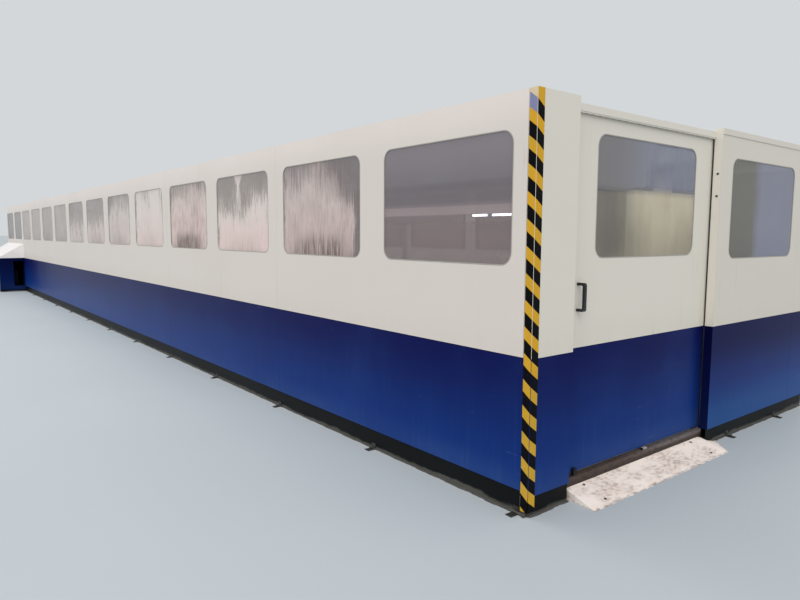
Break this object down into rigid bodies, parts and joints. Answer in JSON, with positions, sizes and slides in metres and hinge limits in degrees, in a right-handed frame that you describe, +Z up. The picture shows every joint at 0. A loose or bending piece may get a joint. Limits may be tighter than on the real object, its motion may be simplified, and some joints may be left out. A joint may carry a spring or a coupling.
{
  "type": "horizontal machining center",
  "caption": "Long low horizontal machining centre in a windowed white and blue enclosure with a sliding end door, travelling column, ram spindle, table and disc tool magazine",
  "frame": {"origin": "centre of the bounding box's base, on the floor", "axes": "+X along the row towards the end with the sliding door, +Z up, the window side with the low cabinet faces -Y"},
  "size_m": [21.185, 4.635, 2.4],
  "materials": {
    "white_paint": "pale semi-gloss powder coat, slightly dusty",
    "cream_paint": "warm off-white semi-gloss powder coat",
    "blue_paint": "royal blue semi-gloss powder coat",
    "glazing": "clear plastic glazing, fogged and streaked on the inside",
    "grey_paint": "grey painted steel tube",
    "black_paint": "matt black, dusty at the floor",
    "worn_steel": "worn brown-grey steel",
    "tape_black": "black tape",
    "tape_yellow": "yellow tape",
    "ramp_plate": "scuffed pinkish-beige plate",
    "anchor_steel": "dark zinc-coated steel",
    "handle_black": "black moulded plastic",
    "steel": "ground steel",
    "cast_bed": "painted grey cast iron, machined ways",
    "machine_paint": "light grey machine paint",
    "table_iron": "machined cast iron",
    "sheet_zinc": "bare sheet",
    "chain_plastic": "black moulded chain links",
    "motor_black": "black painted motor housing",
    "beige_paint": "beige textured cabinet paint",
    "screen_glass": "dark display glass",
    "button_red": "red gloss plastic",
    "light_white": "white light diffuser",
    "drive_grey": "grey drive housings"
  },
  "bodies": {
    "enclosure": {"base_rails": "black_paint", "bed": "cast_bed", "bed_rails": "steel", "chain_tray": "sheet_zinc", "chip_flume": "sheet_zinc", "console_screen": "screen_glass", "control_cabinet": "beige_paint", "coolant_tank": "machine_paint", "corner_casings_lower": "blue_paint", "corner_casings_upper": "cream_paint", "door_header": "cream_paint", "door_sill": "worn_steel", "door_track": "grey_paint", "drive_modules": "drive_grey", "energy_chain": "chain_plastic", "fixed_end_panel_lower": "blue_paint", "fixed_end_panel_upper": "cream_paint", "floor_anchors": "anchor_steel", "frame_tubes": "grey_paint", "front_lower_panels": "blue_paint", "front_upper_panels": "white_paint", "light_fittings": "light_white", "magazine_stand": "machine_paint", "operator_console": "beige_paint", "ramp": "ramp_plate", "rear_lower_panels": "blue_paint", "rear_upper_panels": "white_paint", "side_cabinet_body": "blue_paint", "side_cabinet_cover": "white_paint", "table_pedestals": "cast_bed", "tape_black": "tape_black", "tape_yellow": "tape_yellow", "window_panes": "glazing", "work_table": "table_iron"},
    "door": {"door_leaf_upper": "cream_paint", "door_leaf_lower": "blue_paint", "door_pane": "glazing", "door_handle": "handle_black", "door_hangers": "steel"},
    "door_roller_1": {"door_roller_1": "steel"},
    "door_roller_2": {"door_roller_2": "steel"},
    "carriage": {"carriage": "machine_paint", "bearing_blocks": "steel", "axis_motors": "motor_black", "column": "machine_paint", "column_rails": "steel"},
    "drive_pinion": {"drive_pinion": "steel"},
    "lift_screw": {"lift_screw": "steel"},
    "head": {"head": "machine_paint"},
    "ram": {"ram": "steel", "spindle_motor": "motor_black"},
    "spindle": {"spindle": "steel", "milling_cutter": "steel"},
    "magazine": {"magazine_disc": "machine_paint", "magazine_tools": "steel"},
    "cabinet_door_1": {"cabinet_door_1": "beige_paint"},
    "cabinet_door_2": {"cabinet_door_2": "beige_paint"},
    "cabinet_latch_1": {"cabinet_latch_1": "handle_black"},
    "cabinet_latch_2": {"cabinet_latch_2": "handle_black"},
    "stop_button": {"stop_button": "button_red"}
  },
  "joints": [
    {"name": "door_slide", "type": "slide", "parent": "enclosure", "child": "door", "axis": [0, 1, 0], "range_m": [0, 1.52]},
    {"name": "door_roller_1_spin", "type": "hinge", "parent": "door", "child": "door_roller_1", "pos_m": [10.2575, -1.1075, 2.3203], "axis": [1, 0, 0], "continuous": true},
    {"name": "door_roller_2_spin", "type": "hinge", "parent": "door", "child": "door_roller_2", "pos_m": [10.2575, 0.1475, 2.3203], "axis": [1, 0, 0], "continuous": true},
    {"name": "carriage_travel", "type": "slide", "parent": "enclosure", "child": "carriage", "axis": [1, 0, 0], "range_m": [-10.2, 5.5], "deforming": ["energy_chain"]},
    {"name": "drive_pinion_spin", "type": "hinge", "parent": "carriage", "child": "drive_pinion", "pos_m": [2.0725, 1.1428, 0.61], "axis": [0, 0, 1], "continuous": true},
    {"name": "head_lift", "type": "slide", "parent": "carriage", "child": "head", "axis": [0, 0, 1], "range_m": [-0.07, 0.48]},
    {"name": "lift_screw_spin", "type": "hinge", "parent": "carriage", "child": "lift_screw", "pos_m": [1.7375, 0.6875, 1.5], "axis": [0, 0, 1], "continuous": true},
    {"name": "ram_feed", "type": "slide", "parent": "head", "child": "ram", "axis": [0, -1, 0], "range_m": [0, 0.6]},
    {"name": "spindle_spin", "type": "hinge", "parent": "ram", "child": "spindle", "pos_m": [1.4075, 0.1825, 1.23], "axis": [0, -1, 0], "continuous": true},
    {"name": "magazine_spin", "type": "hinge", "parent": "enclosure", "child": "magazine", "pos_m": [-9.1425, -0.211, 1.23], "axis": [0, -1, 0], "continuous": true},
    {"name": "cabinet_door_1_hinge", "type": "hinge", "parent": "enclosure", "child": "cabinet_door_1", "pos_m": [8.9955, 0.4165, 1.05], "axis": [0, 0, 1], "range_deg": [0, 105]},
    {"name": "cabinet_door_2_hinge", "type": "hinge", "parent": "enclosure", "child": "cabinet_door_2", "pos_m": [8.9955, 1.6285, 1.05], "axis": [0, 0, -1], "range_deg": [0, 105]},
    {"name": "cabinet_latch_1_turn", "type": "hinge", "parent": "cabinet_door_1", "child": "cabinet_latch_1", "pos_m": [8.986, 0.961, 1.05], "axis": [-1, 0, 0], "range_deg": [0, 90]},
    {"name": "cabinet_latch_2_turn", "type": "hinge", "parent": "cabinet_door_2", "child": "cabinet_latch_2", "pos_m": [8.986, 1.084, 1.05], "axis": [1, 0, 0], "range_deg": [0, 90]},
    {"name": "stop_button_push", "type": "slide", "parent": "enclosure", "child": "stop_button", "axis": [0, 1, 0], "range_m": [0, 0.004]}
  ],
  "couplings": [
    {"joint": "door_roller_1_spin", "follows": "door_slide", "rad_per_m": -33.333},
    {"joint": "door_roller_2_spin", "follows": "door_slide", "rad_per_m": -33.333},
    {"joint": "drive_pinion_spin", "follows": "carriage_travel", "rad_per_m": -25},
    {"joint": "lift_screw_spin", "follows": "head_lift", "rad_per_m": -314.16}
  ]
}
